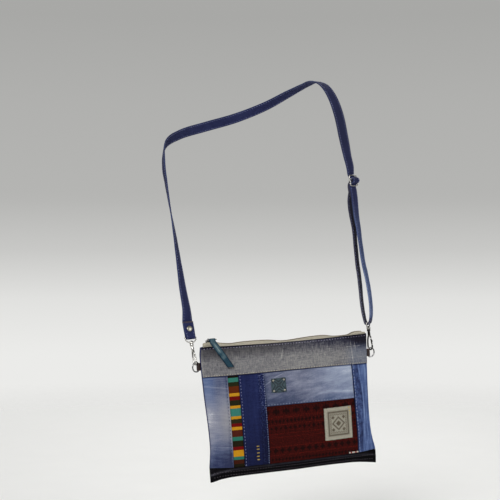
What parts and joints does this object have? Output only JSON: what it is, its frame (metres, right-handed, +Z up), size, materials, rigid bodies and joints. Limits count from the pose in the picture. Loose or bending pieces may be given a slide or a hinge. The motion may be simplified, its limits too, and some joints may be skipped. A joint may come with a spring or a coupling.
{
  "type": "crossbody bag",
  "caption": "Flat zip-top crossbody pouch of patchwork denim with a striped ribbon, a printed panel and a long strap clipped to side rings, in the form that it takes when worn.",
  "frame": {"origin": "underside of the strap where it rests on the shoulder", "axes": "+Z up, +X along the pouch's width to its right as seen from the front, +Y from the pouch's front to its back"},
  "size_m": [0.3189, 0.2465, 0.6374],
  "materials": {
    "grey_denim": "washed black denim, worn grey",
    "pale_denim": "pale washed blue denim",
    "indigo_denim": "dark indigo denim",
    "mid_denim": "mid blue denim with upright streaks",
    "black_denim": "near-black denim",
    "ribbon": "woven ribbon with cross stripes",
    "red_print": "dark red cotton with black printed rows",
    "cream_tape": "cream woven tape",
    "canvas": "grey-beige canvas",
    "teal_leather": "dark teal leather, slightly waxed",
    "brown_leather": "dark brown leather",
    "nickel": "polished nickel plate"
  },
  "bodies": {
    "bag": {"top_band": "grey_denim", "left_panel": "pale_denim", "centre_panel": "pale_denim", "indigo_strip": "indigo_denim", "back_panel": "indigo_denim", "strap": "indigo_denim", "right_strip": "mid_denim", "bottom_band": "black_denim", "striped_ribbon": "ribbon", "print_panel": "red_print", "zip_tape_front": "cream_tape", "zip_tape_back": "cream_tape", "zip_chain": "cream_tape", "seam_tab": "cream_tape", "label_patch": "canvas", "zip_pull": "teal_leather", "stud_patch": "teal_leather", "side_tab_left": "brown_leather", "side_tab_right": "brown_leather", "zip_slider": "nickel", "pull_bail": "nickel", "stud_upper_left": "nickel", "stud_upper_right": "nickel", "stud_lower_left": "nickel", "stud_lower_right": "nickel", "d_ring_left": "nickel", "d_ring_right": "nickel", "hook_eye_left": "nickel", "hook_eye_right": "nickel", "strap_rivet": "nickel", "slider_buckle": "nickel"},
    "left_hook": {"hook_left": "nickel"},
    "left_gate": {"hook_gate_left": "nickel"},
    "right_hook": {"hook_right": "nickel"},
    "right_gate": {"hook_gate_right": "nickel"}
  },
  "joints": [
    {"name": "left_hook_swivel", "type": "hinge", "parent": "bag", "child": "left_hook", "pos_m": [-0.23421, -0.09015, -0.41166], "axis": [-0.1147, 0.2991, 0.9473], "range_deg": [-15, 40]},
    {"name": "left_gate_hinge", "type": "hinge", "parent": "left_hook", "child": "left_gate", "pos_m": [-0.23082, -0.10062, -0.43433], "axis": [0.98, 0.19, 0.0586], "range_deg": [0, 24], "stiffness_Nm_per_rad": 0.03, "springref_deg": -17.19},
    {"name": "right_hook_swivel", "type": "hinge", "parent": "bag", "child": "right_hook", "pos_m": [0.05413, -0.10002, -0.39355], "axis": [-0.1104, -0.0201, 0.9937], "range_deg": [-35, 12]},
    {"name": "right_gate_hinge", "type": "hinge", "parent": "right_hook", "child": "right_gate", "pos_m": [0.0582, -0.10244, -0.41831], "axis": [0.9063, 0.4083, 0.1089], "range_deg": [0, 24], "stiffness_Nm_per_rad": 0.03, "springref_deg": -17.19}
  ]
}
